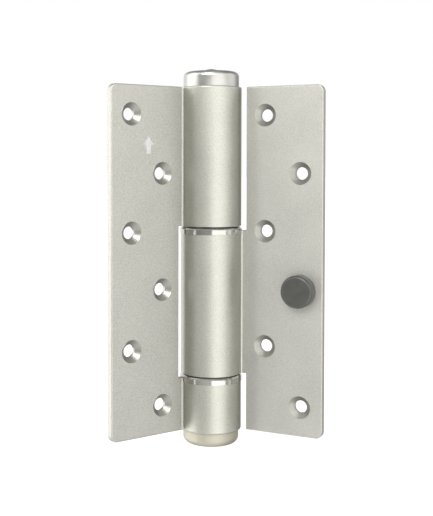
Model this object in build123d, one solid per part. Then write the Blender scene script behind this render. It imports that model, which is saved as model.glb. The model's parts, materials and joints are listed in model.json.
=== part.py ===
"""Hydraulic butt hinge: two extruded leaves, a spring closer in the upper knuckle
and an oil damper in the middle knuckle, all about one vertical pin axis."""

import math
import os

from build123d import *

# Leaves, in millimetres and degrees
leaf_height = 152.4
leaf_width = 50.8
leaf_thickness = 3.5
leaf_setback = 3.0
corner_radius = 3.0
edge_radius = 0.6
root_radius = 1.0

# Screw holes, staggered in two columns
hole_rows = 6
hole_pitch = 25.4
edge_margin = 10.2
column_spacing = 16.1
screw_radius = 2.8
countersink_radius = 4.9
countersink_angle = 90.0

# Barrel
barrel_radius = 13.5
barrel_bore = 10.0
upper_knuckle_share = 0.403
lower_knuckle_share = 0.143
knuckle_notch = 2.3
ring_overhang = 0.3
ring_bore = 6.3
ring_thickness = 3.0
ring_bevel = 0.9
ring_seat = 1.4
running_gap = 0.45

# Caps
cap_setback = 1.15
cap_plug = 4.5
cap_recess_radius = 7.0
top_cap_height = 6.9
top_cap_shoulder = 2.4
dome_radius = 4.0
dome_height = 1.4
bottom_cap_height = 6.3
bottom_cap_shoulder = 3.0
cap_floor = 2.4

# Swing of the door leaf
rest_opening = 118.0
full_opening = 180.0

# Cam gear shared by the closer and the damper
cam_lead = 18.0
shaft_radius = 4.6
stem_flat = 3.4
journal_radius = 6.0
cross_pin_radius = 1.5
cross_pin_inset = 0.6
shaft_tip = 1.5
skirt_land = 2.5
end_room = 0.5

# Closer in the upper knuckle
bushing_length = 6.0
spring_head = 4.0
anchor_length = 7.0
spring_pitch = 2.6
spring_wire_height = 1.6
spring_stem_room = 1.8
spring_bore_room = 0.6
spring_washer_thickness = 1.0

# Damper in the middle knuckle
gland_length = 9.0
liner_wall = 1.2
piston_head = 7.0
valve_offset = 6.0
valve_passage = 0.7
ball_radius = 1.05
ball_pocket = 2.6
clip_thickness = 0.8
clip_bore = 4.9
clip_radius = 8.2

# Seals, keys and the speed screw
seal_depth = 1.4
seal_height = 1.8
seal_land = 2.7
key_width = 3.0
key_height = 3.0
key_length = 6.0
anchor_top_inset = 1.0
speed_screw_radius = 3.0
speed_screw_length = 5.5
speed_screw_seal_depth = 0.8
speed_screw_seal_height = 1.2
speed_screw_seal_land = 2.4
needle_radius = 0.9
needle_length = 4.0
oil_passage = 1.1
oil_port_radius = 0.8
oil_port_land = 1.6
socket_flats = 3.0
socket_depth = 3.0

# Rubber bumper on the door leaf
bumper_radius = 7.1
bumper_gap = 0.4
bumper_edge = 1.3
bumper_row = 2
bumper_back_inset = 0.3

# Fits
seat_clearance = 0.02
running_clearance = 0.05
cam_clearance = 0.1

# How far a cutting tool runs past the face that it leaves
cut_past = 0.5

# Barrel sizes that follow from the leaves and the barrel
upper_knuckle = upper_knuckle_share * leaf_height
lower_knuckle = lower_knuckle_share * leaf_height
notch_reach = barrel_radius + knuckle_notch
ring_radius = barrel_radius + ring_overhang
cap_radius = barrel_radius - cap_setback

# Heights up the pin axis, from the foot of the leaves
middle_bottom = lower_knuckle + ring_thickness + running_gap
upper_bottom = leaf_height - upper_knuckle
middle_top = upper_bottom - running_gap - ring_thickness

# Cam travel either side of the rest position
rest_fold = full_opening - rest_opening
closing_travel = cam_lead * rest_opening / 360
opening_travel = cam_lead * rest_fold / 360
lead_per_radian = cam_lead / (2 * math.pi)
ramp_slope = lead_per_radian / shaft_radius
ramp_rise = cross_pin_radius * math.sqrt(1 + ramp_slope**2) + cam_clearance

# Damper stack, from the gland upwards
gland_top = middle_bottom + gland_length
damper_foot = gland_top + end_room + closing_travel
damper_pin_height = damper_foot + skirt_land + opening_travel + ramp_rise
damper_head_foot = damper_pin_height + closing_travel + ramp_rise + skirt_land
damper_top = damper_head_foot + piston_head
damper_shaft_top = damper_pin_height + cross_pin_radius + shaft_tip
hub_bottom = damper_top + clip_thickness + opening_travel + end_room

# Closer stack, from the bushing upwards
bushing_top = upper_bottom + bushing_length
closer_foot = bushing_top + end_room + closing_travel
closer_pin_height = closer_foot + skirt_land + opening_travel + ramp_rise
closer_head_foot = closer_pin_height + closing_travel + ramp_rise + skirt_land
closer_top = closer_head_foot + spring_head
spindle_top = closer_pin_height + cross_pin_radius + shaft_tip
anchor_top = leaf_height - cap_plug
anchor_bottom = anchor_top - anchor_length
spring_top = anchor_bottom - spring_washer_thickness

# Radii that follow from the fits
seated_radius = barrel_bore - seat_clearance
liner_bore = seated_radius - liner_wall
damper_radius = liner_bore - running_clearance
closer_radius = barrel_bore - running_clearance
cam_bore = shaft_radius + running_clearance
journal_bore = journal_radius + running_clearance
spring_inner_radius = shaft_radius + spring_stem_room
spring_outer_radius = barrel_bore - spring_bore_room

# Speed screw stack, from the foot of the damper shaft upwards
shaft_foot = cap_plug + end_room
shaft_anchor_top = lower_knuckle - anchor_top_inset
speed_screw_foot = shaft_foot + end_room
speed_screw_top = speed_screw_foot + speed_screw_length
oil_port_height = gland_top + oil_port_land

# Middles of the seals
spindle_seal_middle = hub_bottom + seal_land
gland_seal_middle = (middle_bottom + gland_top) / 2
shaft_seal_middle = gland_top - seal_land
piston_seal_middle = damper_head_foot + seal_land
screw_seal_middle = speed_screw_top - speed_screw_seal_land

# Reach of the cross pins from the pin axis
damper_pin_reach = damper_radius - cross_pin_inset
closer_pin_reach = closer_radius - cross_pin_inset

# Screw pattern and the shared frame
outer_column = leaf_width - edge_margin
inner_column = outer_column - column_spacing
hole_middle = (inner_column + outer_column) / 2
hole_margin = (leaf_height - (hole_rows - 1) * hole_pitch) / 2
countersink_depth = (countersink_radius - screw_radius) / math.tan(math.radians(countersink_angle / 2))
leaf_back = leaf_setback + leaf_thickness
frame_origin = Location((hole_middle, -leaf_back, -leaf_height / 2))
door_turn = Rot(0, 0, -rest_fold)


def turned(*corners):
    """Solid turned about the pin axis from (radius, height) corners."""
    outline = Polyline(*[(radius, 0, height) for radius, height in corners], close=True)
    return revolve(make_face(outline), Axis.Z)


def disc(radius, bottom, top):
    """Round bar about the pin axis."""
    return turned((0, bottom), (radius, bottom), (radius, top), (0, top))


def ring(outer, inner, bottom, top):
    """Plain ring about the pin axis."""
    return turned((inner, bottom), (outer, bottom), (outer, top), (inner, top))


def sector(half_angle, inner, outer):
    """Flat ring sector centred on the X axis."""
    start = -half_angle
    sweep = 2 * half_angle
    outer_arc = CenterArc((0, 0), outer, start, sweep)
    inner_arc = CenterArc((0, 0), inner, start, sweep)
    first_side = Line(inner_arc @ 0, outer_arc @ 0)
    last_side = Line(inner_arc @ 1, outer_arc @ 1)
    return make_face([outer_arc, inner_arc, first_side, last_side])


def twisted(section, bottom, top, lead, start_angle):
    """Section carried up the pin axis while it turns once per lead."""
    height = top - bottom
    placed = Location((0, 0, bottom), (0, 0, start_angle)) * section
    turn = 360 * height / lead
    return Solid.extrude_linear_with_rotation(placed.face(), (0, 0, bottom), (0, 0, height), turn)


def flatted_bar(radius, flat, bottom, top):
    """Round bar with two flats that face along Y."""
    span = Pos(0, 0, (bottom + top) / 2) * Box(2 * radius, 2 * flat, top - bottom)
    return disc(radius, bottom, top) & span


def cross_bar(radius, half_length, height):
    """Round bar through the pin axis along X."""
    return Pos(0, 0, height) * Rot(0, 90, 0) * Cylinder(radius, 2 * half_length)


def key_block(bottom, top, clearance):
    """Parallel key in the barrel wall, centred on the bore's surface."""
    width = key_width + 2 * clearance
    depth = key_height + 2 * clearance
    return Pos(0, barrel_bore, (bottom + top) / 2) * Box(width, depth, top - bottom)


def seal_groove(outer, depth, middle):
    """Groove for a square ring in an outside diameter."""
    half = seal_height / 2 + seat_clearance
    return ring(outer + cut_past, outer - depth, middle - half, middle + half)


def seal_ring(bore, groove_floor, middle):
    """Square ring between the floor of its groove and the bore around it."""
    half = seal_height / 2
    return ring(bore - seat_clearance, groove_floor + seat_clearance, middle - half, middle + half)


def screw_positions(first_column, second_column):
    """Staggered hole centres, with the first column in the even rows from the foot."""
    columns = (first_column, second_column)
    return [(columns[row % 2], hole_margin + row * hole_pitch) for row in range(hole_rows)]


def leaf_blank(side):
    """Extruded leaf and full-length barrel, with every outer edge broken."""
    outward = Axis((0, 0, 0), (side, 0, 0))
    plate = Pos(side * leaf_width / 2, leaf_setback + leaf_thickness / 2)
    section = plate * Rectangle(leaf_width, leaf_thickness) + Circle(barrel_radius)
    plate_corners = section.vertices().filter_by_position(Axis.Y, leaf_setback / 2, barrel_radius)
    roots = plate_corners.sort_by(outward)[:2]
    section = fillet(roots, root_radius)
    blank = extrude(section, leaf_height)
    corners = blank.edges().filter_by(Axis.Y).sort_by(outward)[-2:]
    blank = fillet(corners, corner_radius)
    ends = blank.faces().filter_by(Axis.Z).sort_by(Axis.Z)
    rims = ends[0].edges() + ends[-1].edges()
    outer_uprights = blank.edges().filter_by(Axis.Z).sort_by(outward)[-2:]
    return fillet(rims + outer_uprights, edge_radius)


def knuckle_gap(bottom, top):
    """Room around the mating knuckle between two heights."""
    block = Box(2 * notch_reach, 2 * (barrel_radius + leaf_back), top - bottom)
    return Pos(0, 0, (bottom + top) / 2) * block


def ring_pocket(bottom):
    """Round seat that lets the foot of a thrust ring into the root of a leaf."""
    return disc(ring_radius + running_clearance, bottom, bottom + ring_seat + cut_past)


def countersunk_hole(x, z):
    """Screw hole through a leaf, countersunk from the front."""
    drill_tip = -leaf_thickness - cut_past
    outline = (
        (0, drill_tip),
        (screw_radius, drill_tip),
        (screw_radius, -countersink_depth),
        (countersink_radius, 0),
        (countersink_radius, cut_past),
        (0, cut_past),
    )
    return Pos(x, leaf_setback, z) * Rot(90, 0, 0) * turned(*outline)


def make_frame_leaf():
    """Leaf for the frame, with the upper and lower knuckles."""
    leaf = leaf_blank(-1)
    leaf -= knuckle_gap(lower_knuckle + ring_seat, upper_bottom)
    leaf -= ring_pocket(lower_knuckle)
    leaf -= disc(barrel_bore, -cut_past, leaf_height + cut_past)
    for column, height in screw_positions(inner_column, outer_column):
        leaf -= countersunk_hole(-column, height)
    leaf -= key_block(anchor_top - key_length, leaf_height + cut_past, seat_clearance)
    return leaf - key_block(-cut_past, shaft_foot + key_length, seat_clearance)


def make_door_leaf():
    """Leaf for the door, with the middle knuckle, swung to its rest position."""
    leaf = leaf_blank(1)
    leaf -= knuckle_gap(-cut_past, middle_bottom)
    leaf -= knuckle_gap(middle_top + ring_seat, leaf_height + cut_past)
    leaf -= ring_pocket(middle_top)
    leaf -= disc(barrel_bore, -cut_past, leaf_height + cut_past)
    for column, height in screw_positions(outer_column, inner_column):
        leaf -= countersunk_hole(column, height)
    leaf = door_turn * leaf
    return leaf - key_block(middle_top - key_length, middle_top + cut_past, seat_clearance)


def make_bumper():
    """Rubber button in the door leaf, plugged into its countersunk hole."""
    column, height = screw_positions(outer_column, inner_column)[bumper_row]
    proud = 2 * leaf_setback - bumper_gap
    plug_radius = screw_radius - running_clearance
    sink_radius = countersink_radius - running_clearance
    plug_foot = bumper_back_inset - leaf_thickness
    outline = (
        (0, plug_foot),
        (plug_radius, plug_foot),
        (plug_radius, -countersink_depth),
        (sink_radius, 0),
        (bumper_radius, 0),
        (bumper_radius, proud),
        (0, proud),
    )
    button = turned(*outline)
    rim = button.edges().filter_by(GeomType.CIRCLE).sort_by(Axis.Z)[-1]
    button = fillet(rim, bumper_edge)
    return door_turn * Pos(column, leaf_setback, height) * Rot(90, 0, 0) * button


def make_thrust_ring(bottom):
    """Polished ring between two knuckles, bevelled round its upper edge."""
    top = bottom + ring_thickness
    outline = (
        (ring_bore, bottom),
        (ring_radius, bottom),
        (ring_radius, top - ring_bevel),
        (ring_radius - ring_bevel, top),
        (ring_bore, top),
    )
    return turned(*outline)


def make_top_cap():
    """Turned cap with a rounded shoulder, a low central dome and a plug below."""
    base = leaf_height
    top = base + top_cap_height
    plug = disc(seated_radius, base - cap_plug, base)
    body = disc(cap_radius, base, top)
    shoulder = body.edges().filter_by(GeomType.CIRCLE).sort_by(Axis.Z)[-1]
    body = fillet(shoulder, top_cap_shoulder)
    dome_sphere = (dome_radius**2 + dome_height**2) / (2 * dome_height)
    dome = Pos(0, 0, top + dome_height - dome_sphere) * Sphere(dome_sphere)
    dome &= disc(dome_radius, top, top + dome_height + cut_past)
    recess = disc(cap_recess_radius, base - cap_plug - cut_past, top - cap_floor)
    return plug + body + dome - recess


def make_bottom_cap():
    """Turned cap with a full rounded lower edge and a plug above."""
    plug = disc(seated_radius, 0, cap_plug)
    body = disc(cap_radius, -bottom_cap_height, 0)
    lower_edge = body.edges().filter_by(GeomType.CIRCLE).sort_by(Axis.Z)[0]
    body = fillet(lower_edge, bottom_cap_shoulder)
    recess = disc(cap_recess_radius, cap_floor - bottom_cap_height, cap_plug + cut_past)
    return plug + body - recess


def cam_piston(radius, foot, pin_height, head_foot, top, hand):
    """Piston with two helical cam tracks in its skirt and a flatted hole in its head."""
    piston = disc(radius, foot, top)
    piston -= disc(cam_bore, foot - cut_past, head_foot)
    hole_flat = stem_flat + running_clearance
    piston -= flatted_bar(cam_bore, hole_flat, head_foot - cut_past, top + cut_past)
    track_bottom = pin_height - opening_travel - ramp_rise
    track_top = pin_height + closing_travel + ramp_rise
    half_angle = math.degrees(ramp_rise / lead_per_radian)
    start_angle = hand * 360 * (track_bottom - pin_height) / cam_lead
    track = sector(half_angle, shaft_radius - cut_past, radius + cut_past)
    for side_angle in (0, 180):
        piston -= twisted(track, track_bottom, track_top, hand * cam_lead, start_angle + side_angle)
    return piston


def make_spindle():
    """Door-side spindle: flatted stem, keyed hub, journal and closer shaft."""
    stem_bottom = damper_shaft_top + end_room
    spindle = flatted_bar(shaft_radius, stem_flat, stem_bottom, hub_bottom)
    spindle += disc(seated_radius, hub_bottom, middle_top)
    spindle += disc(journal_radius, middle_top, bushing_top)
    spindle += disc(shaft_radius, bushing_top, spindle_top)
    spindle -= cross_bar(cross_pin_radius + seat_clearance, barrel_radius, closer_pin_height)
    spindle -= seal_groove(seated_radius, seal_depth, spindle_seal_middle)
    return spindle - key_block(middle_top - key_length, middle_top + cut_past, seat_clearance)


def make_damper_shaft():
    """Frame-side shaft: keyed anchor, journal and damper shaft with its oil way."""
    shaft = disc(seated_radius, shaft_foot, shaft_anchor_top)
    shaft += disc(journal_radius, shaft_anchor_top, gland_top)
    shaft += disc(shaft_radius, gland_top, damper_shaft_top)
    shaft -= cross_bar(cross_pin_radius + seat_clearance, barrel_radius, damper_pin_height)
    screw_bore = speed_screw_radius + running_clearance
    shaft -= disc(screw_bore, shaft_foot - cut_past, speed_screw_top + end_room)
    shaft -= disc(oil_passage, shaft_foot, oil_port_height)
    shaft -= Rot(0, 0, 90) * cross_bar(oil_port_radius, barrel_radius, oil_port_height)
    return shaft - key_block(shaft_foot - cut_past, shaft_foot + key_length, seat_clearance)


def make_spring_anchor():
    """Keyed plug under the top cap, with the flatted stem that the closer piston slides on."""
    stem_bottom = spindle_top + end_room
    anchor = flatted_bar(shaft_radius, stem_flat, stem_bottom, anchor_bottom)
    anchor += disc(seated_radius, anchor_bottom, anchor_top)
    return anchor - key_block(anchor_top - key_length, anchor_top + cut_past, seat_clearance)


def make_closing_spring():
    """Rectangular-wire compression spring with ground ends."""
    length = spring_top - closer_top
    coil_radius = (spring_inner_radius + spring_outer_radius) / 2
    coil = Helix(spring_pitch, length, coil_radius)
    start = Plane(origin=coil @ 0, x_dir=(1, 0, 0), z_dir=coil % 0)
    wire = start * Rectangle(spring_outer_radius - spring_inner_radius, spring_wire_height)
    spring = Pos(0, 0, closer_top) * sweep(wire, coil, is_frenet=True)
    return spring & disc(barrel_bore, closer_top, spring_top)


def make_gland():
    """Bearing and seal carrier at the foot of the damper."""
    gland = ring(seated_radius, journal_bore, middle_bottom, gland_top)
    gland -= seal_groove(seated_radius, seal_depth, gland_seal_middle)
    half = seal_height / 2 + seat_clearance
    inner_groove = ring(journal_bore + seal_depth, journal_bore - cut_past, -half, half)
    return gland - Pos(0, 0, shaft_seal_middle) * inner_groove


def make_damper_piston():
    """Oil piston: right-hand cam tracks, seal groove and a check valve seat."""
    piston = cam_piston(damper_radius, damper_foot, damper_pin_height, damper_head_foot, damper_top, 1)
    piston -= seal_groove(damper_radius, seal_depth, piston_seal_middle)
    pocket_floor = damper_top - ball_pocket
    pocket = disc(ball_radius + running_clearance, pocket_floor, damper_top + cut_past)
    passage = disc(valve_passage, damper_head_foot - skirt_land, damper_top)
    return piston - Pos(0, valve_offset, 0) * (pocket + passage)


def make_check_ball():
    """Steel ball on the edge of its passage."""
    seat_rise = math.sqrt(ball_radius**2 - valve_passage**2) + seat_clearance
    return Pos(0, valve_offset, damper_top - ball_pocket + seat_rise) * Sphere(ball_radius)


def make_valve_clip():
    """Drilled washer that keeps the check ball in its pocket."""
    clip = ring(clip_radius, clip_bore, damper_top, damper_top + clip_thickness)
    bleed = disc(valve_passage, damper_top - cut_past, damper_top + clip_thickness + cut_past)
    return clip - Pos(0, valve_offset, 0) * bleed


def make_speed_screw():
    """Throttle screw with a needle tip and a hexagon socket."""
    screw = disc(speed_screw_radius, speed_screw_foot, speed_screw_top)
    screw += disc(needle_radius, speed_screw_top, speed_screw_top + needle_length)
    half = speed_screw_seal_height / 2 + seat_clearance
    floor = speed_screw_radius - speed_screw_seal_depth
    screw -= Pos(0, 0, screw_seal_middle) * ring(speed_screw_radius + cut_past, floor, -half, half)
    socket = extrude(RegularPolygon(socket_flats / 2, 6, major_radius=False), socket_depth)
    return screw - Pos(0, 0, speed_screw_foot) * socket


def make_speed_screw_seal():
    """Square ring on the throttle screw."""
    half = speed_screw_seal_height / 2
    floor = speed_screw_radius - speed_screw_seal_depth + seat_clearance
    return Pos(0, 0, screw_seal_middle) * ring(speed_screw_radius, floor, -half, half)


pieces = {
    "frame_leaf": make_frame_leaf(),
    "top_cap": make_top_cap(),
    "bottom_cap": make_bottom_cap(),
    "lower_ring": make_thrust_ring(lower_knuckle),
    "upper_bushing": ring(seated_radius, journal_bore, upper_bottom, bushing_top),
    "spring_anchor": make_spring_anchor(),
    "spring_anchor_key": key_block(anchor_top - key_length, anchor_top, 0),
    "spring_washer": ring(spring_outer_radius, spring_inner_radius, spring_top, anchor_bottom),
    "closing_spring": make_closing_spring(),
    "damper_shaft": make_damper_shaft(),
    "damper_shaft_key": key_block(shaft_foot, shaft_foot + key_length, 0),
    "damper_cross_pin": cross_bar(cross_pin_radius, damper_pin_reach, damper_pin_height),
    "speed_screw": make_speed_screw(),
    "speed_screw_seal": make_speed_screw_seal(),
    "door_leaf": make_door_leaf(),
    "bumper": make_bumper(),
    "upper_ring": make_thrust_ring(middle_top),
    "spindle": make_spindle(),
    "spindle_key": key_block(middle_top - key_length, middle_top, 0),
    "spindle_seal": seal_ring(barrel_bore, seated_radius - seal_depth, spindle_seal_middle),
    "spindle_cross_pin": cross_bar(cross_pin_radius, closer_pin_reach, closer_pin_height),
    "cylinder_liner": ring(seated_radius, liner_bore, gland_top, hub_bottom),
    "gland": make_gland(),
    "gland_seal": seal_ring(barrel_bore, seated_radius - seal_depth, gland_seal_middle),
    "shaft_seal": seal_ring(journal_bore + seal_depth, journal_radius, shaft_seal_middle),
    "damper_piston": make_damper_piston(),
    "piston_seal": seal_ring(liner_bore, damper_radius - seal_depth, piston_seal_middle),
    "check_ball": make_check_ball(),
    "valve_clip": make_valve_clip(),
    "spring_piston": cam_piston(
        closer_radius, closer_foot, closer_pin_height, closer_head_foot, closer_top, -1
    ),
}

os.makedirs("parts", exist_ok=True)
for name, piece in pieces.items():
    export_step(frame_origin * piece, f"parts/{name}.step")
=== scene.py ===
import json
import math
from typing import NamedTuple

import bmesh
import bpy
from bpy.props import FloatProperty, FloatVectorProperty, IntProperty, PointerProperty
from mathutils import Matrix, Vector


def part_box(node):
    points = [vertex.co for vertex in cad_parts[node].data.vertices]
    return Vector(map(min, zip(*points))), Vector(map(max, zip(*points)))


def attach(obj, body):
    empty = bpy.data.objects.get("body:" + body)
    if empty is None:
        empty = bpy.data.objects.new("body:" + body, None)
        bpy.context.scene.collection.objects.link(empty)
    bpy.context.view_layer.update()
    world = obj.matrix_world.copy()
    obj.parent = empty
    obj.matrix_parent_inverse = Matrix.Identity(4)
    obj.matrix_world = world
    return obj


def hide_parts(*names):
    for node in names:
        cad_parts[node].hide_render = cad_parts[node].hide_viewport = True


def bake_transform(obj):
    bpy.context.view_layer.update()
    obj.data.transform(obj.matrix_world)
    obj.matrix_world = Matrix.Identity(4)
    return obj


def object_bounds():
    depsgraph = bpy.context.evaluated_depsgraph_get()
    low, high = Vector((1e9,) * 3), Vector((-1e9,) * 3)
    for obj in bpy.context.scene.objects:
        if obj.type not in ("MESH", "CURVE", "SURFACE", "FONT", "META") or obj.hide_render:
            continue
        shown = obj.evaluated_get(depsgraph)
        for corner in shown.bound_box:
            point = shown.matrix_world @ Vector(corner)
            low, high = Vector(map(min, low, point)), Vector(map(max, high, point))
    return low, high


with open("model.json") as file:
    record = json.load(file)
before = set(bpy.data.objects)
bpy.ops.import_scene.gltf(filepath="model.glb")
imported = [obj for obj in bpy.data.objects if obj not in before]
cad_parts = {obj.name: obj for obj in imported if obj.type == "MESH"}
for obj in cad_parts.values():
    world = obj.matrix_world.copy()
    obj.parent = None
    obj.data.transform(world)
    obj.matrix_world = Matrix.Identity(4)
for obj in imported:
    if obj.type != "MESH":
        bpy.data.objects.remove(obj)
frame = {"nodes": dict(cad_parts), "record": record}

bl_info = {
    "name": "Hydraulic butt hinge",
    "version": (1, 0, 0),
    "blender": (4, 5, 0),
    "location": "View3D > Sidebar > Hinge",
    "description": "Finishes, spring, countersinks, arrow mark and studio for a self-closing butt hinge",
    "category": "Object",
}

MM = 0.001
WELD = 0.001 * MM
SHARP_EDGE = math.radians(30)

# Sockets of a colour Mix node, whose names repeat for each data type
MIX_FACTOR, MIX_FIRST, MIX_SECOND, MIX_RESULT = 0, 6, 7, 2

cad_low, cad_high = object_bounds()
nodes = frame["nodes"]
mounts = {mount["name"]: mount for mount in frame["record"]["mounts"]}

ring_low, ring_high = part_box("upper_ring")
pin_axis = Vector(((ring_low.x + ring_high.x) / 2, (ring_low.y + ring_high.y) / 2, 0))
ring_radius = (ring_high.x - ring_low.x) / 2

plate_points = [vertex.co for vertex in nodes["frame_leaf"].data.vertices if vertex.co.x < 0]
leaf_thickness = max(point.y for point in plate_points) - min(point.y for point in plate_points)


class Leaf:
    """Where one leaf's front face lies, read from the mount on its back."""

    def __init__(self, body, back_mount):
        mount = mounts[back_mount]
        self.body = body
        self.front = -Vector(mount["axis"])
        self.across = Vector((0, 0, 1)).cross(self.front)
        self.middle = Vector(mount["pos_m"]) + self.front * leaf_thickness
        self.side = math.copysign(1, self.across.dot(self.middle - pin_axis))

    def place(self):
        """Matrix from the face's own axes, with Z out of the face, to the row frame."""
        turn = Matrix((self.across, (0, 0, 1), self.front)).transposed().to_4x4()
        return Matrix.Translation(self.middle) @ turn

    def spot(self, outward, height):
        """Point on the face in its own axes, outward from the middle of the screw pattern."""
        return Vector((self.side * outward, height, 0))


frame_face = Leaf("frame", "frame_leaf_back")
door_face = Leaf("door", "door_leaf_back")


def length_property(name, description, default):
    return FloatProperty(name=name, description=description, default=default, unit="LENGTH")


def angle_property(name, description, degrees):
    default = math.radians(degrees)
    return FloatProperty(name=name, description=description, default=default, subtype="ANGLE")


def colour_property(name, description, default):
    return FloatVectorProperty(
        name=name, description=description, default=default, size=4, subtype="COLOR"
    )


class HingeSizes(bpy.types.PropertyGroup):
    """Sizes of the details that are cut or printed on the leaves."""

    screw_rows: IntProperty(
        name="Screw rows", description="Rows of screw holes in a leaf", default=6
    )
    bumper_row: IntProperty(
        name="Bumper row", description="Row of the rubber bumper, from the foot", default=2
    )
    hole_pitch: length_property("Hole pitch", "Height from one row to the next", 25.4 * MM)
    column_spacing: length_property("Column spacing", "Distance between the two columns", 16.1 * MM)
    screw_radius: length_property("Screw radius", "Radius of a screw hole", 2.8 * MM)
    rim_radius: length_property("Rim radius", "Radius of a countersink at the face", 4.9 * MM)
    lining: length_property("Lining", "Thickness of the bright cut skin", 0.06 * MM)
    round_steps: IntProperty(
        name="Round steps", description="Steps round a countersink", default=64
    )
    arrow_width: length_property("Arrow width", "Width of the arrow's head", 5.3 * MM)
    arrow_head: length_property("Arrow head", "Height of the arrow's head", 3.6 * MM)
    arrow_stem: length_property("Arrow stem", "Width of the arrow's stem", 2.4 * MM)
    arrow_height: length_property("Arrow height", "Height of the whole arrow", 7.5 * MM)
    arrow_rise: length_property(
        "Arrow rise", "Foot of the arrow above the leaf's middle", 46.6 * MM
    )
    arrow_inset: length_property(
        "Arrow inset", "Middle of the arrow inside the pattern's middle", 0.8 * MM
    )
    ink_thickness: length_property("Ink thickness", "Thickness of the printed mark", 0.03 * MM)


class HingeFinish(bpy.types.PropertyGroup):
    """Colours of the finishes."""

    nickel: colour_property("Satin nickel", "Leaves and knuckles", (0.412, 0.406, 0.372, 1))
    nickel_shade: colour_property(
        "Satin nickel grain", "Darker grains of the satin", (0.312, 0.307, 0.280, 1)
    )
    knuckle_tint: colour_property(
        "Knuckle tint", "Warmth of the satin on the knuckles", (0.995, 1.0, 0.97, 1)
    )
    chrome: colour_property("Polished chrome", "Thrust rings", (0.42, 0.41, 0.38, 1))
    cap: colour_property("Cap nickel", "Top cap", (0.395, 0.391, 0.366, 1))
    champagne: colour_property("Champagne", "Bottom cap", (0.40, 0.383, 0.314, 1))
    machined: colour_property("Machined metal", "Countersinks", (0.31, 0.306, 0.276, 1))
    rubber: colour_property("Grey rubber", "Bumper", (0.029, 0.0295, 0.026, 1))
    ink: colour_property("Pale ink", "Arrow mark", (0.365, 0.365, 0.36, 1))
    steel: colour_property("Turned steel", "Shafts and pistons", (0.34, 0.34, 0.345, 1))
    hard_steel: colour_property(
        "Hardened steel", "Keys, cross pins and check ball", (0.22, 0.22, 0.228, 1)
    )
    spring_steel: colour_property(
        "Spring steel", "Spring, washer and clip", (0.085, 0.087, 0.1, 1)
    )
    bronze: colour_property("Bronze", "Bushing and gland", (0.40, 0.27, 0.13, 1))
    seal: colour_property("Black rubber", "Seals", (0.014, 0.014, 0.014, 1))


class HingeStudio(bpy.types.PropertyGroup):
    """Floor, light and camera."""

    floor_colour: colour_property("Floor", "Pale studio floor", (0.94, 0.94, 0.94, 1))
    floor_reach: length_property("Floor reach", "Half width of the floor", 6.0)
    lens: FloatProperty(name="Lens", description="Focal length in millimetres", default=66.92)
    camera_distance: length_property("Camera distance", "From the pin axis", 0.4297)
    camera_bearing: angle_property("Camera bearing", "Side on which the camera stands", 231.94)
    camera_height: length_property("Camera height", "Above the middle of the leaves", 0.0426)
    camera_yaw: angle_property("Camera yaw", "Turn away from the pin axis", 3.26)
    camera_tilt: angle_property("Camera tilt", "Tilt below the horizon", 1.73)
    shift_across: FloatProperty(
        name="Shift across", description="Sideways lens shift", default=0.1163
    )
    shift_up: FloatProperty(name="Shift up", description="Upward lens shift", default=-0.1279)


class Softbox(NamedTuple):
    """Area light that faces the hinge, with its angles in degrees and its sizes in metres."""

    name: str
    bearing: float
    elevation: float
    distance: float
    width: float
    height: float
    brightness: float


class Glow(NamedTuple):
    """Bright patch of the room about one direction, in degrees."""

    bearing: float
    elevation: float
    spread: float
    brightness: float


SOFTBOXES = (
    Softbox("right_softbox", 30, 4, 0.8, 0.8, 1.7, 2.15),
    Softbox("left_softbox", -86, 4, 0.8, 0.78, 1.7, 3.1),
    Softbox("front_softbox", -18, 38, 1.6, 1.0, 0.8, 10.0),
)
ROOM_BRIGHTNESS = 0.4
BACKDROP = Glow(180, 10, 45, 0.5)
LEFT_WALL = Glow(-128, 0, 42, 1.1)
RIGHT_WALL = Glow(88, 12, 42, 1.6)
CEILING = Glow(0, 75, 38, 0.55)
FRONT_TABLE = Glow(-10, -60, 66, 1.25)

# Floor paper, with the size of its mottle in metres
PAPER_MOTTLE = 0.4
PAPER_SHADE = 0.97
PAPER_GLOW = 1.25
PAPER_GLOW_SHARE = 0.75


class Wire:
    """One output socket, so that shader maths reads as plain expressions."""

    def __init__(self, graph, socket):
        self.graph = graph
        self.socket = socket

    def maths(self, operation, first, second):
        return self.graph.node("ShaderNodeMath", {"operation": operation}, {0: first, 1: second})

    def __add__(self, other):
        return self.maths("ADD", self, other)

    def __radd__(self, other):
        return self.maths("ADD", other, self)

    def __sub__(self, other):
        return self.maths("SUBTRACT", self, other)

    def __rsub__(self, other):
        return self.maths("SUBTRACT", other, self)

    def __mul__(self, other):
        return self.maths("MULTIPLY", self, other)

    def __rmul__(self, other):
        return self.maths("MULTIPLY", other, self)


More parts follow.
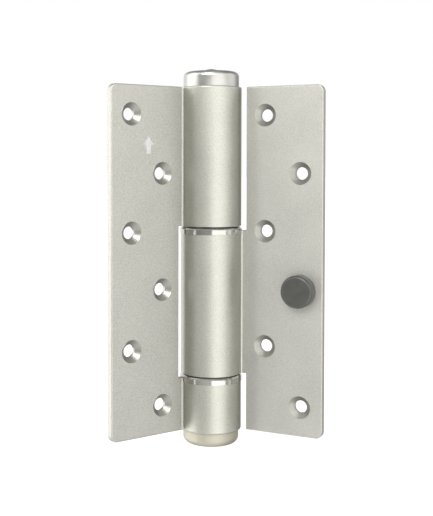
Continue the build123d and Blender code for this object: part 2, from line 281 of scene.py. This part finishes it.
class Graph:
    """A node tree, with one method that adds any node."""

    def __init__(self, tree):
        self.tree = tree
        tree.nodes.clear()

    def node(self, kind, settings=None, sockets=None, output=0):
        """Adds a node with its settings first, then its values and links."""
        added = self.tree.nodes.new(kind)
        for name, value in (settings or {}).items():
            setattr(added, name, value)
        for name, value in (sockets or {}).items():
            if isinstance(value, Wire):
                self.tree.links.new(value.socket, added.inputs[name])
            else:
                added.inputs[name].default_value = value
        return Wire(self, added.outputs[output]) if added.outputs else None

    def noise(self, position, size, detail=2.0, roughness=0.5):
        """Noise between 0 and 1 whose blots are about one size across, in metres."""
        sockets = {"Vector": position, "Scale": 1 / size, "Detail": detail, "Roughness": roughness}
        return self.node("ShaderNodeTexNoise", None, sockets)

    def blend(self, factor, first, second, blend_type="MIX"):
        """Mix of two colours."""
        settings = {"data_type": "RGBA", "blend_type": blend_type}
        sockets = {MIX_FACTOR: factor, MIX_FIRST: first, MIX_SECOND: second}
        return self.node("ShaderNodeMix", settings, sockets, MIX_RESULT)

    def ramp(self, value, start, end):
        """Smooth step from 0 at start to 1 at end."""
        sockets = {"Value": value, "From Min": start, "From Max": end}
        return self.node("ShaderNodeMapRange", {"interpolation_type": "SMOOTHSTEP"}, sockets)

    def bump(self, height, depth):
        """Normal of a surface whose relief is one depth high, in metres."""
        sockets = {"Strength": 1.0, "Distance": depth, "Height": height}
        return self.node("ShaderNodeBump", None, sockets)


def shaded(colour, share):
    """Colour with every channel multiplied by one share."""
    return tuple(share * channel for channel in colour[:3]) + (1,)


def finish(name, build):
    """Material whose shader is built on the piece's own coordinates."""
    material = bpy.data.materials.new(name)
    material.use_nodes = True
    graph = Graph(material.node_tree)
    position = graph.node("ShaderNodeTexCoord", None, None, "Object")
    sockets = build(graph, position)
    shader = graph.node("ShaderNodeBsdfPrincipled", None, sockets)
    graph.node("ShaderNodeOutputMaterial", None, {"Surface": shader})
    return material


def satin_nickel():
    """Blasted satin with a fine sparkling grain, duller on the plates than on the knuckles."""
    finishes = bpy.context.scene.hinge_finish

    def build(graph, position):
        grain = graph.noise(position, size=0.3 * MM, roughness=0.6)
        cloud = graph.noise(position, size=16 * MM, detail=3.0)
        tone = graph.ramp(0.85 * grain + 0.15 * cloud, start=0.34, end=0.64)
        grey = graph.blend(tone, finishes.nickel_shade, finishes.nickel)
        sockets = {0: position, 1: (1, 1, 0)}
        flat = graph.node("ShaderNodeVectorMath", {"operation": "MULTIPLY"}, sockets)
        sockets = {0: flat, 1: pin_axis}
        reach = graph.node("ShaderNodeVectorMath", {"operation": "DISTANCE"}, sockets, "Value")
        plate = graph.ramp(reach, start=ring_radius, end=ring_radius + 1 * MM)
        warm = graph.blend(1 - plate, grey, finishes.knuckle_tint, "MULTIPLY")
        return {
            "Base Color": warm,
            "Metallic": 1.0,
            "Roughness": 0.42 + 0.12 * plate + 0.06 * cloud,
            "Normal": graph.bump(grain, depth=0.035 * MM),
        }

    return finish("satin_nickel_blasted", build)


def turned_metal(name, colour, roughness, line, relief):
    """Metal with fine turning lines round the pin axis."""

    def build(graph, position):
        apart = graph.node("ShaderNodeSeparateXYZ", None, {"Vector": position}, "Z")
        stretched = graph.node("ShaderNodeCombineXYZ", None, {"X": 0.0, "Y": 0.0, "Z": apart})
        lines = graph.noise(stretched, size=line)
        smears = graph.noise(position, size=5 * MM)
        tone = graph.ramp(0.5 * lines + 0.5 * smears, start=0.3, end=0.7)
        return {
            "Base Color": graph.blend(tone, shaded(colour, 0.86), colour),
            "Metallic": 1.0,
            "Roughness": roughness * (0.8 + 0.4 * smears),
            "Normal": graph.bump(lines, depth=relief),
        }

    return finish(name, build)


def moulded_rubber(name, colour, roughness):
    """Rubber with a fine mould texture and dusty patches."""

    def build(graph, position):
        pores = graph.noise(position, size=0.35 * MM)
        dust = graph.noise(position, size=3 * MM, detail=3.0)
        patches = graph.ramp(dust, start=0.35, end=0.7)
        return {
            "Base Color": graph.blend(patches, colour, shaded(colour, 1.25)),
            "Roughness": roughness + 0.12 * dust,
            "Normal": graph.bump(pores, depth=0.02 * MM),
        }

    return finish(name, build)


def cut_metal():
    """Bright cone left by the countersinking tool, with rings at its depth attribute."""
    finishes = bpy.context.scene.hinge_finish

    def build(graph, position):
        depth = graph.node("ShaderNodeAttribute", {"attribute_name": "cut_depth"}, None, "Fac")
        stretched = graph.node("ShaderNodeCombineXYZ", None, {"X": 0.0, "Y": 0.0, "Z": depth})
        rings = graph.noise(stretched, size=0.12 * MM)
        smears = graph.noise(position, size=2 * MM)
        tone = graph.ramp(rings, start=0.3, end=0.7)
        return {
            "Base Color": graph.blend(tone, shaded(finishes.machined, 0.8), finishes.machined),
            "Metallic": 1.0,
            "Roughness": 0.36 + 0.1 * smears,
            "Normal": graph.bump(rings, depth=0.006 * MM),
        }

    return finish("machined_countersink", build)


def pale_ink():
    """Thin pale ink that lets a little of the blasted grain through."""
    finishes = bpy.context.scene.hinge_finish

    def build(graph, position):
        grain = graph.noise(position, size=0.55 * MM, detail=3.0, roughness=0.65)
        wear = graph.ramp(grain, start=0.3, end=0.7)
        return {
            "Base Color": graph.blend(wear, shaded(finishes.ink, 0.88), finishes.ink),
            "Roughness": 0.55 + 0.1 * grain,
            "Normal": graph.bump(grain, depth=0.01 * MM),
        }

    return finish("pale_ink", build)


def paint(node, material):
    """Puts a finish on a CAD node."""
    nodes[node].material_slots[0].material = material


def add_piece(name, mesh, body):
    """Shows a mesh as a piece that rides on a CAD body."""
    piece = bpy.data.objects.new(name, mesh)
    bpy.context.scene.collection.objects.link(piece)
    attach(piece, body)


class HINGE_OT_finish_leaves(bpy.types.Operator):
    """Blast the two leaves and their knuckles to a satin"""

    bl_idname = "hinge.finish_leaves"
    bl_label = "Finish leaves"

    def execute(self, context):
        satin = satin_nickel()
        for leaf in ("frame_leaf", "door_leaf"):
            paint(leaf, satin)
        return {"FINISHED"}


class HINGE_OT_finish_rings(bpy.types.Operator):
    """Polish the two thrust rings"""

    bl_idname = "hinge.finish_rings"
    bl_label = "Finish rings"

    def execute(self, context):
        colour = context.scene.hinge_finish.chrome
        chrome = turned_metal(
            "polished_chrome", colour, roughness=0.16, line=0.3 * MM, relief=0.0015 * MM
        )
        for ring in ("upper_ring", "lower_ring"):
            paint(ring, chrome)
        return {"FINISHED"}


class HINGE_OT_finish_caps(bpy.types.Operator):
    """Finish the glossy top cap and the champagne bottom cap"""

    bl_idname = "hinge.finish_caps"
    bl_label = "Finish caps"

    def execute(self, context):
        finishes = context.scene.hinge_finish
        glossy = turned_metal(
            "glossy_nickel", finishes.cap, roughness=0.33, line=0.25 * MM, relief=0.002 * MM
        )
        champagne = turned_metal(
            "champagne_satin", finishes.champagne, roughness=0.6, line=0.2 * MM, relief=0.003 * MM
        )
        paint("top_cap", glossy)
        paint("bottom_cap", champagne)
        return {"FINISHED"}


class HINGE_OT_finish_bumper(bpy.types.Operator):
    """Give the bumper its grey rubber"""

    bl_idname = "hinge.finish_bumper"
    bl_label = "Finish bumper"

    def execute(self, context):
        colour = context.scene.hinge_finish.rubber
        paint("bumper", moulded_rubber("grey_rubber", colour, roughness=0.27))
        return {"FINISHED"}


class HINGE_OT_finish_mechanism(bpy.types.Operator):
    """Finish the closer and the damper inside the barrel"""

    bl_idname = "hinge.finish_mechanism"
    bl_label = "Finish mechanism"

    def execute(self, context):
        finishes = context.scene.hinge_finish
        steel = turned_metal(
            "turned_steel", finishes.steel, roughness=0.32, line=0.2 * MM, relief=0.003 * MM
        )
        hard = turned_metal(
            "hardened_steel", finishes.hard_steel, roughness=0.16, line=0.3 * MM, relief=0.002 * MM
        )
        spring = turned_metal(
            "spring_steel", finishes.spring_steel, roughness=0.26, line=0.4 * MM, relief=0.002 * MM
        )
        bronze = turned_metal(
            "bearing_bronze", finishes.bronze, roughness=0.3, line=0.2 * MM, relief=0.003 * MM
        )
        rubber = moulded_rubber("seal_rubber", finishes.seal, roughness=0.45)
        inside = {
            steel: (
                "spindle",
                "damper_shaft",
                "spring_anchor",
                "spring_piston",
                "damper_piston",
                "cylinder_liner",
                "speed_screw",
            ),
            hard: (
                "spindle_key",
                "spring_anchor_key",
                "damper_shaft_key",
                "spindle_cross_pin",
                "damper_cross_pin",
                "check_ball",
            ),
            spring: ("closing_spring", "spring_washer", "valve_clip"),
            bronze: ("upper_bushing", "gland"),
            rubber: ("spindle_seal", "gland_seal", "shaft_seal", "piston_seal", "speed_screw_seal"),
        }
        for material, names in inside.items():
            for name in names:
                paint(name, material)
        return {"FINISHED"}


class HINGE_OT_fit_spring(bpy.types.Operator):
    """Swap the closing spring's CAD node for a welded, smooth-shaded copy of its coils"""

    bl_idname = "hinge.fit_spring"
    bl_label = "Fit spring"

    def execute(self, context):
        mesh = nodes["closing_spring"].data.copy()
        mesh.name = "spring_coils"
        builder = bmesh.new()
        builder.from_mesh(mesh)
        bmesh.ops.remove_doubles(builder, verts=builder.verts, dist=WELD)
        builder.to_mesh(mesh)
        builder.free()
        mesh.shade_smooth()
        mesh.set_sharp_from_angle(angle=SHARP_EDGE)
        spring = bpy.data.objects.new("spring_coils", mesh)
        context.scene.collection.objects.link(spring)
        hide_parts("closing_spring")
        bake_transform(spring)
        return {"FINISHED"}


def countersink_tree(material):
    """Geometry Nodes tree that lines the cone and the bore of the hole at each point."""
    tree = bpy.data.node_groups.new("countersink_lining", "GeometryNodeTree")
    tree.interface.new_socket("Geometry", in_out="OUTPUT", socket_type="NodeSocketGeometry")
    tree.interface.new_socket("Geometry", in_out="INPUT", socket_type="NodeSocketGeometry")
    for name in ("Bore Radius", "Rim Radius", "Leaf Thickness", "Lining"):
        tree.interface.new_socket(name, in_out="INPUT", socket_type="NodeSocketFloat")
    tree.interface.new_socket("Round Steps", in_out="INPUT", socket_type="NodeSocketInt")
    graph = Graph(tree)
    group_input = tree.nodes.new("NodeGroupInput")
    given = {socket.name: Wire(graph, socket) for socket in group_input.outputs if socket.name}
    bore = given["Bore Radius"]
    rim = given["Rim Radius"]
    skin = given["Lining"]
    sink = rim - bore
    foot = given["Leaf Thickness"] - skin
    cone = ((rim, 0 - skin), (rim + skin, 0.0), (bore, sink + skin), (bore - skin, sink))
    # Half a skin off the cone's foot, so that the two closed shells share no edge
    wall = bore - 0.5 * skin
    sleeve = ((wall, sink), (bore + skin, sink), (bore + skin, foot), (wall, foot))
    sockets = {"Resolution": given["Round Steps"], "Radius": rim}
    path = graph.node("GeometryNodeCurvePrimitiveCircle", None, sockets)
    joined = graph.node("GeometryNodeJoinGeometry")
    for outline in (cone, sleeve):
        corners = {}
        for number, (radius, depth) in enumerate(outline, 1):
            sockets = {"X": radius - rim, "Y": depth}
            corners[f"Point {number}"] = graph.node("ShaderNodeCombineXYZ", None, sockets)
        profile = graph.node("GeometryNodeCurvePrimitiveQuadrilateral", {"mode": "POINTS"}, corners)
        sockets = {"Curve": path, "Profile Curve": profile}
        ring = graph.node("GeometryNodeCurveToMesh", None, sockets)
        tree.links.new(ring.socket, joined.socket.node.inputs["Geometry"])
    place = graph.node("GeometryNodeInputPosition")
    depth = graph.node("ShaderNodeSeparateXYZ", None, {"Vector": place}, "Z")
    marked = graph.node(
        "GeometryNodeStoreNamedAttribute",
        {"data_type": "FLOAT", "domain": "POINT"},
        {"Geometry": joined, "Name": "cut_depth", "Value": depth},
    )
    sockets = {"Points": given["Geometry"], "Instance": marked}
    holes = graph.node("GeometryNodeInstanceOnPoints", None, sockets)
    solid = graph.node("GeometryNodeRealizeInstances", None, {"Geometry": holes})
    sockets = {"Geometry": solid, "Material": material}
    painted = graph.node("GeometryNodeSetMaterial", None, sockets)
    graph.node("NodeGroupOutput", None, {"Geometry": painted})
    return tree


def evaluated_mesh(name, points, tree, values):
    """Plain mesh that a Geometry Nodes tree makes from loose points."""
    seed = bpy.data.meshes.new(name)
    seed.from_pydata(points, [], [])
    holder = bpy.data.objects.new(name, seed)
    bpy.context.scene.collection.objects.link(holder)
    modifier = holder.modifiers.new("lining", "NODES")
    modifier.node_group = tree
    for item in tree.interface.items_tree:
        if item.in_out == "INPUT" and item.name in values:
            modifier[item.identifier] = values[item.name]
    holder.update_tag()
    depsgraph = bpy.context.evaluated_depsgraph_get()
    made = bpy.data.meshes.new_from_object(holder.evaluated_get(depsgraph))
    holder.modifiers.remove(modifier)
    bpy.data.objects.remove(holder)
    made.name = name
    return made


def screw_spots(leaf, first_side, skipped):
    """Staggered hole centres on a leaf's face, from the foot up."""
    sizes = bpy.context.scene.hinge_sizes
    spots = []
    for row in range(sizes.screw_rows):
        height = (row - (sizes.screw_rows - 1) / 2) * sizes.hole_pitch
        outward = first_side * (-1) ** row * sizes.column_spacing / 2
        if row not in skipped:
            spots.append(leaf.spot(outward, height))
    return spots


class HINGE_OT_line_countersinks(bpy.types.Operator):
    """Line every screw hole with the bright metal that its tool left"""

    bl_idname = "hinge.line_countersinks"
    bl_label = "Line countersinks"

    def execute(self, context):
        sizes = context.scene.hinge_sizes
        values = {
            "Bore Radius": sizes.screw_radius,
            "Rim Radius": sizes.rim_radius,
            "Leaf Thickness": leaf_thickness,
            "Lining": sizes.lining,
            "Round Steps": sizes.round_steps,
        }
        tree = countersink_tree(cut_metal())
        patterns = ((frame_face, -1, ()), (door_face, 1, (sizes.bumper_row,)))
        for leaf, first_side, skipped in patterns:
            name = f"{leaf.body}_countersinks"
            mesh = evaluated_mesh(name, screw_spots(leaf, first_side, skipped), tree, values)
            mesh.transform(leaf.place())
            mesh.shade_smooth()
            mesh.set_sharp_from_angle(angle=SHARP_EDGE)
            add_piece(name, mesh, leaf.body)
        return {"FINISHED"}


class HINGE_OT_print_arrow(bpy.types.Operator):
    """Print the arrow that shows which end of the hinge is up"""

    bl_idname = "hinge.print_arrow"
    bl_label = "Print arrow"

    def execute(self, context):
        sizes = context.scene.hinge_sizes
        foot = sizes.arrow_rise
        neck = foot + sizes.arrow_height - sizes.arrow_head
        tip = foot + sizes.arrow_height
        stem = sizes.arrow_stem / 2
        head = sizes.arrow_width / 2
        ink = sizes.ink_thickness
        half = ((stem, foot), (stem, neck), (head, neck))
        outline = [*half, (0, tip), *[(-across, height) for across, height in reversed(half)]]
        mesh = bpy.data.meshes.new("up_arrow")
        builder = bmesh.new()
        corners = [builder.verts.new((across, height, -ink)) for across, height in outline]
        face = builder.faces.new(corners)
        raised = bmesh.ops.extrude_face_region(builder, geom=[face])["geom"]
        lifted = [item for item in raised if isinstance(item, bmesh.types.BMVert)]
        bmesh.ops.translate(builder, verts=lifted, vec=(0, 0, 2 * ink))
        bmesh.ops.recalc_face_normals(builder, faces=builder.faces)
        builder.to_mesh(mesh)
        builder.free()
        shift = frame_face.spot(-sizes.arrow_inset, 0)
        mesh.transform(frame_face.place() @ Matrix.Translation(shift))
        mesh.materials.append(pale_ink())
        add_piece("up_arrow", mesh, "frame")
        return {"FINISHED"}


def studio_direction(bearing, elevation):
    """Direction away from the hinge, to the right of the camera and above the horizon."""
    turn = bpy.context.scene.hinge_studio.camera_bearing + math.radians(bearing)
    rise = math.radians(elevation)
    level = math.cos(rise)
    return Vector((math.cos(turn) * level, math.sin(turn) * level, math.sin(rise)))


def hang(softbox):
    """Turns a softbox to the middle of the hinge and gives its whole face one brightness."""
    light = bpy.data.lights.new(softbox.name, "AREA")
    light.shape = "RECTANGLE"
    light.size = softbox.width
    light.size_y = softbox.height
    light.energy = softbox.brightness * math.pi * softbox.width * softbox.height
    away = studio_direction(softbox.bearing, softbox.elevation)
    lamp = bpy.data.objects.new(softbox.name, light)
    lamp.location = pin_axis + softbox.distance * away
    lamp.rotation_euler = away.to_track_quat("Z", "Y").to_euler()
    bpy.context.scene.collection.objects.link(lamp)


class HINGE_OT_set_stage(bpy.types.Operator):
    """Lay the floor, hang the softboxes and stand the camera"""

    bl_idname = "hinge.set_stage"
    bl_label = "Set stage"

    def execute(self, context):
        scene = context.scene
        studio = scene.hinge_studio
        self.lay_floor(scene, studio)
        self.light(scene)
        self.stand_camera(scene, studio)
        return {"FINISHED"}

    def lay_floor(self, scene, studio):
        """Square of paper under the lowest point of the hinge."""
        reach = studio.floor_reach
        mesh = bpy.data.meshes.new("floor")
        square = ((-reach, -reach), (reach, -reach), (reach, reach), (-reach, reach))
        corners = [(x, y, cad_low.z) for x, y in square]
        mesh.from_pydata(corners, [], [(0, 1, 2, 3)])
        mesh.materials.append(self.floor_paper(studio))
        floor = bpy.data.objects.new("floor", mesh)
        floor.visible_glossy = False
        floor.visible_shadow = False
        scene.collection.objects.link(floor)

    def floor_paper(self, studio):
        """Pale paper that the lens sees as evenly lit from below."""
        paper = bpy.data.materials.new("studio_paper")
        paper.use_nodes = True
        graph = Graph(paper.node_tree)
        position = graph.node("ShaderNodeTexCoord", None, None, "Object")
        mottle = graph.noise(position, size=PAPER_MOTTLE)
        grey = shaded(studio.floor_colour, PAPER_SHADE)
        colour = graph.blend(mottle, grey, studio.floor_colour)
        matt = graph.node("ShaderNodeBsdfDiffuse", None, {"Color": colour})
        glow = graph.node("ShaderNodeEmission", None, {"Strength": PAPER_GLOW})
        seen = graph.node("ShaderNodeLightPath", None, None, "Is Camera Ray")
        sockets = {0: PAPER_GLOW_SHARE * seen, 1: matt, 2: glow}
        both = graph.node("ShaderNodeMixShader", None, sockets)
        graph.node("ShaderNodeOutputMaterial", None, {"Surface": both})
        return paper

    def light(self, scene):
        """Room with bright walls, white behind the hinge, and the softboxes."""
        world = bpy.data.worlds.new("studio_room")
        world.use_nodes = True
        scene.world = world
        graph = Graph(world.node_tree)
        toward = graph.node("ShaderNodeTexCoord", None, None, "Generated")
        glow = ROOM_BRIGHTNESS
        for patch in (BACKDROP, LEFT_WALL, RIGHT_WALL, CEILING, FRONT_TABLE):
            sockets = {0: toward, 1: studio_direction(patch.bearing, patch.elevation)}
            settings = {"operation": "DOT_PRODUCT"}
            facing = graph.node("ShaderNodeVectorMath", settings, sockets, "Value")
            edge = math.cos(math.radians(patch.spread))
            glow = glow + patch.brightness * graph.ramp(facing, edge, 1.0)
        white = (1, 1, 1, 1)
        room = graph.node("ShaderNodeBackground", None, {"Color": white, "Strength": glow})
        plain = graph.node("ShaderNodeBackground", None, {"Color": white, "Strength": 1.0})
        camera_ray = graph.node("ShaderNodeLightPath", None, None, "Is Camera Ray")
        seen = graph.node("ShaderNodeMixShader", None, {0: camera_ray, 1: room, 2: plain})
        graph.node("ShaderNodeOutputWorld", None, {"Surface": seen})
        for softbox in SOFTBOXES:
            hang(softbox)
        scene.view_settings.view_transform = "Standard"

    def stand_camera(self, scene, studio):
        """Camera at the photograph's viewing angle."""
        lens = bpy.data.cameras.new("camera")
        lens.lens = studio.lens
        lens.shift_x = studio.shift_across
        lens.shift_y = studio.shift_up
        camera = bpy.data.objects.new("camera", lens)
        reach = studio.camera_distance
        back = Vector((math.cos(studio.camera_bearing), math.sin(studio.camera_bearing), 0))
        camera.location = pin_axis + reach * back + Vector((0, 0, studio.camera_height))
        heading = studio.camera_bearing + math.pi / 2 + studio.camera_yaw
        camera.rotation_euler = (math.pi / 2 - studio.camera_tilt, 0, heading)
        scene.collection.objects.link(camera)
        scene.camera = camera


class HINGE_PT_panel(bpy.types.Panel):
    """Steps that dress the hinge, in order"""

    bl_idname = "HINGE_PT_panel"
    bl_label = "Hinge"
    bl_space_type = "VIEW_3D"
    bl_region_type = "UI"
    bl_category = "Hinge"

    def draw(self, context):
        for step in steps:
            self.layout.operator(step.bl_idname)
        for group_name in groups:
            group = getattr(context.scene, group_name)
            for name in group.__annotations__:
                self.layout.prop(group, name)


groups = {"hinge_sizes": HingeSizes, "hinge_finish": HingeFinish, "hinge_studio": HingeStudio}
steps = (
    HINGE_OT_finish_leaves,
    HINGE_OT_finish_rings,
    HINGE_OT_finish_caps,
    HINGE_OT_finish_bumper,
    HINGE_OT_finish_mechanism,
    HINGE_OT_fit_spring,
    HINGE_OT_line_countersinks,
    HINGE_OT_print_arrow,
    HINGE_OT_set_stage,
)


def register():
    for group in groups.values():
        bpy.utils.register_class(group)
    for name, group in groups.items():
        setattr(bpy.types.Scene, name, PointerProperty(type=group))
    for step in (*steps, HINGE_PT_panel):
        bpy.utils.register_class(step)


def unregister():
    for step in (HINGE_PT_panel, *reversed(steps)):
        bpy.utils.unregister_class(step)
    for name, group in groups.items():
        delattr(bpy.types.Scene, name)
        bpy.utils.unregister_class(group)


def main():
    register()
    for step in steps:
        family, action = step.bl_idname.split(".")
        getattr(getattr(bpy.ops, family), action)()


if __name__ == "__main__":
    main()
